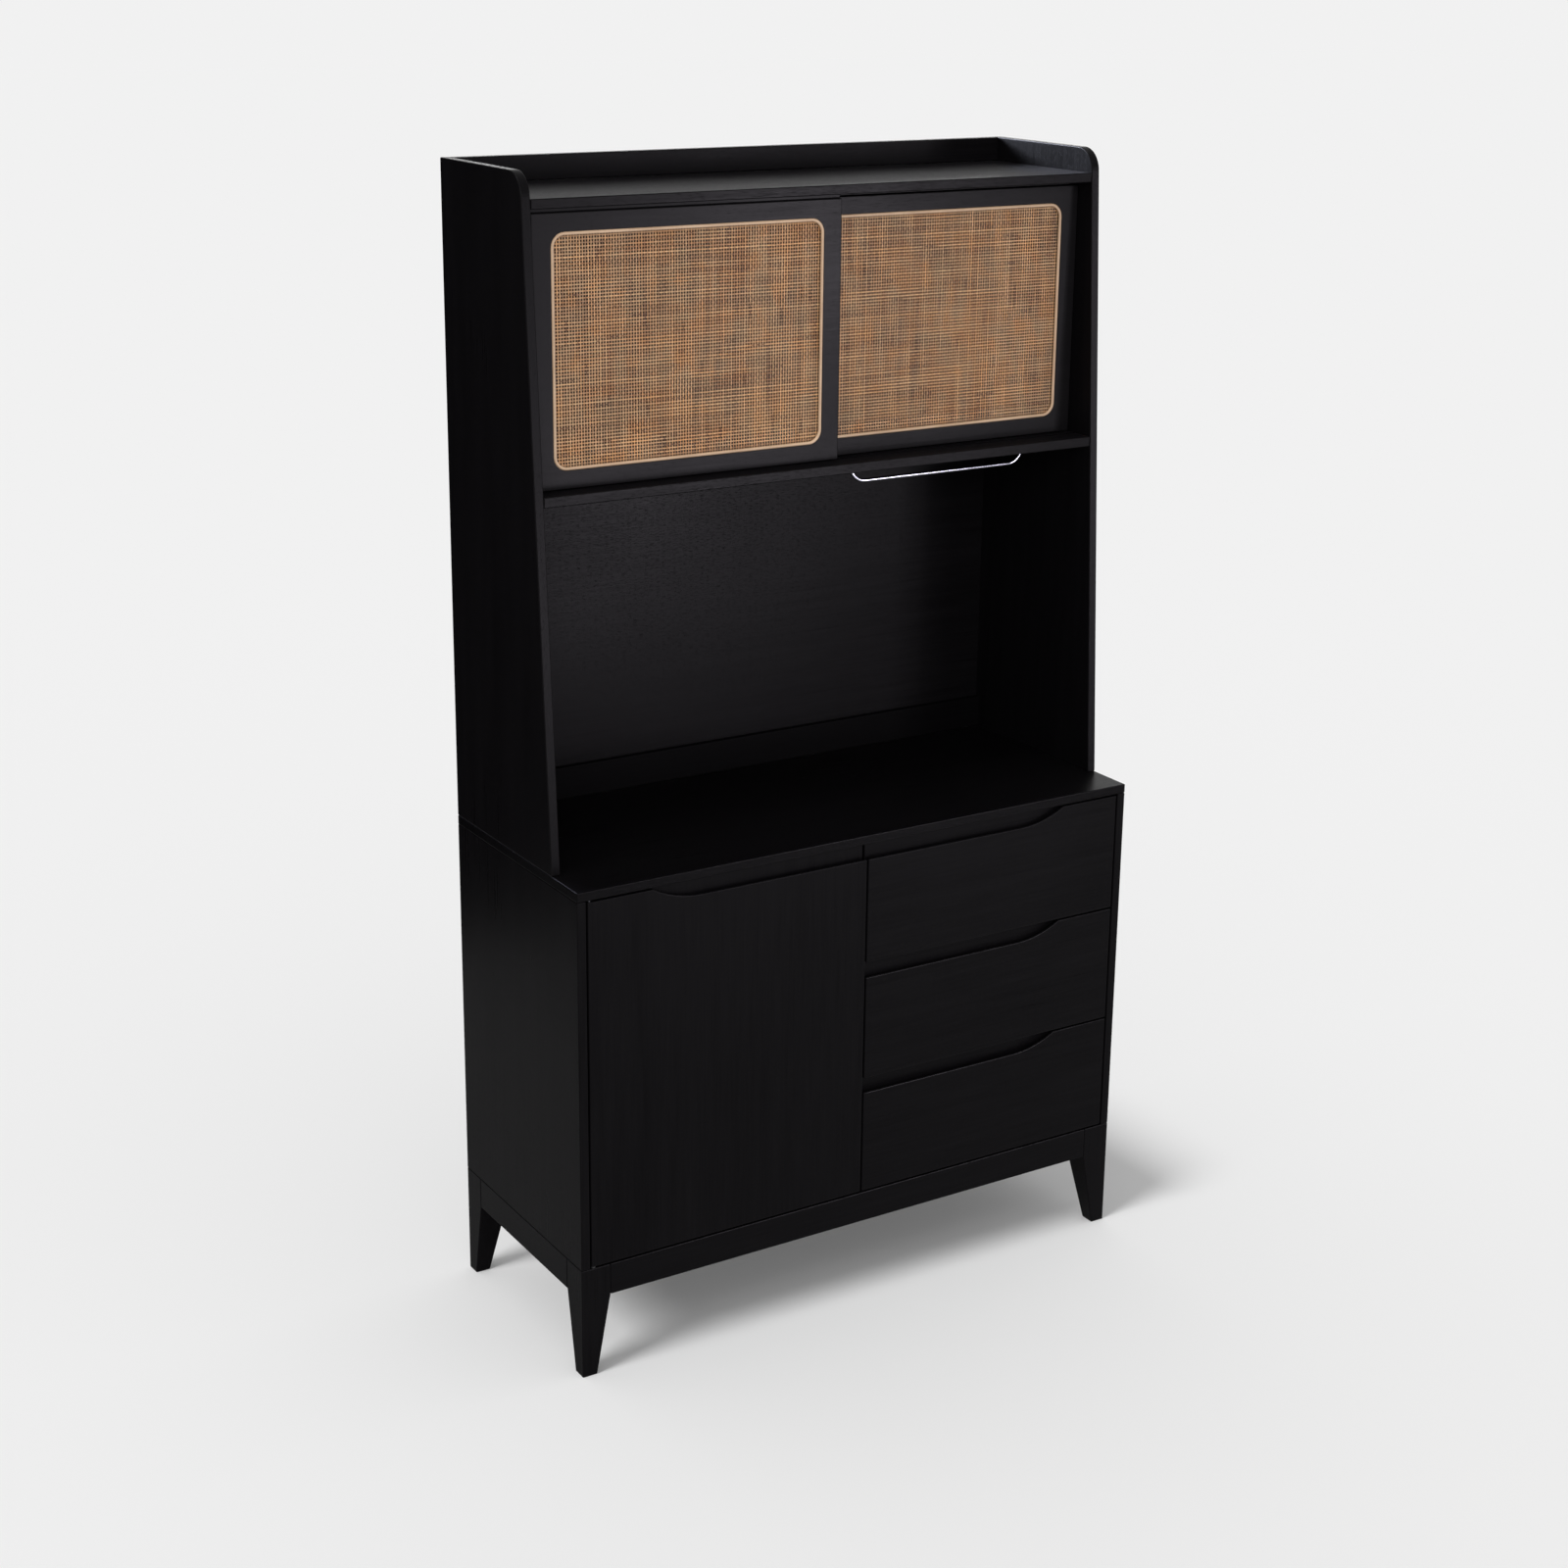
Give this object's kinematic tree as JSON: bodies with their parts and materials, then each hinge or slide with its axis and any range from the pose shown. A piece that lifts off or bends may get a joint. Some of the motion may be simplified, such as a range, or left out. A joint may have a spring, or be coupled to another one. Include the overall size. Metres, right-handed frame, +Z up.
{
  "type": "buffet cabinet",
  "caption": "Black wood buffet cabinet on tapered legs: hinged cupboard, drawers with finger pulls, and a raked hutch with an open niche and sliding cane doors.",
  "frame": {"origin": "on the floor, under the middle of the cabinet's outline", "axes": "+Z up, +X to the right as seen from the front, the front faces -Y"},
  "size_m": [1.1, 0.44, 1.963],
  "materials": {
    "black_wood": "black stain under satin lacquer",
    "inner_wood": "black stain, matt",
    "cane": "natural woven cane",
    "beading": "natural rattan",
    "chrome": "polished",
    "steel": "zinc plated",
    "plastic": "moulded"
  },
  "bodies": {
    "cabinet": {"worktop": "black_wood", "base_side_left": "black_wood", "base_side_right": "black_wood", "base_bottom": "inner_wood", "base_divider": "inner_wood", "base_back": "inner_wood", "leg_front_left": "black_wood", "leg_front_right": "black_wood", "leg_back_left": "black_wood", "leg_back_right": "black_wood", "apron_front": "black_wood", "apron_back": "black_wood", "apron_left": "black_wood", "apron_right": "black_wood", "cupboard_shelf": "inner_wood", "shelf_pin_front_left": "steel", "shelf_pin_front_right": "steel", "shelf_pin_back_left": "steel", "shelf_pin_back_right": "steel", "door_pin_lower": "steel", "door_pin_upper": "steel", "door_washer": "plastic", "magnet_catch": "plastic", "drawer_1_runner_left": "inner_wood", "drawer_1_runner_right": "inner_wood", "drawer_2_runner_left": "inner_wood", "drawer_2_runner_right": "inner_wood", "drawer_3_runner_left": "inner_wood", "drawer_3_runner_right": "inner_wood", "hutch_side_left": "black_wood", "hutch_side_right": "black_wood", "top_board": "black_wood", "gallery_rail": "black_wood", "hutch_shelf": "black_wood", "hutch_back": "black_wood", "niche_rail": "black_wood", "hanging_bar": "chrome"},
    "cupboard_door": {"cupboard_door": "black_wood"},
    "drawer_1": {"drawer_1_front": "black_wood", "drawer_1_side_left": "inner_wood", "drawer_1_side_right": "inner_wood", "drawer_1_back": "inner_wood", "drawer_1_bottom": "inner_wood"},
    "drawer_2": {"drawer_2_front": "black_wood", "drawer_2_side_left": "inner_wood", "drawer_2_side_right": "inner_wood", "drawer_2_back": "inner_wood", "drawer_2_bottom": "inner_wood"},
    "drawer_3": {"drawer_3_front": "black_wood", "drawer_3_side_left": "inner_wood", "drawer_3_side_right": "inner_wood", "drawer_3_back": "inner_wood", "drawer_3_bottom": "inner_wood"},
    "left_slider": {"left_slider_frame": "black_wood", "left_slider_cane": "cane", "left_slider_beading": "beading"},
    "right_slider": {"right_slider_frame": "black_wood", "right_slider_cane": "cane", "right_slider_beading": "beading"}
  },
  "joints": [
    {"name": "cupboard_door_hinge", "type": "hinge", "parent": "cabinet", "child": "cupboard_door", "pos_m": [-0.5265, -0.2155, 0.201], "axis": [0, 0, -1], "range_deg": [0, 110]},
    {"name": "drawer_1_slide", "type": "slide", "parent": "cabinet", "child": "drawer_1", "axis": [0, -1, 0], "range_m": [0, 0.3]},
    {"name": "drawer_2_slide", "type": "slide", "parent": "cabinet", "child": "drawer_2", "axis": [0, -1, 0], "range_m": [0, 0.3]},
    {"name": "drawer_3_slide", "type": "slide", "parent": "cabinet", "child": "drawer_3", "axis": [0, -1, 0], "range_m": [0, 0.3]},
    {"name": "left_slider_slide", "type": "slide", "parent": "cabinet", "child": "left_slider", "axis": [1, 0, 0], "range_m": [0, 0.5]},
    {"name": "right_slider_slide", "type": "slide", "parent": "cabinet", "child": "right_slider", "axis": [-1, 0, 0], "range_m": [0, 0.5]}
  ]
}
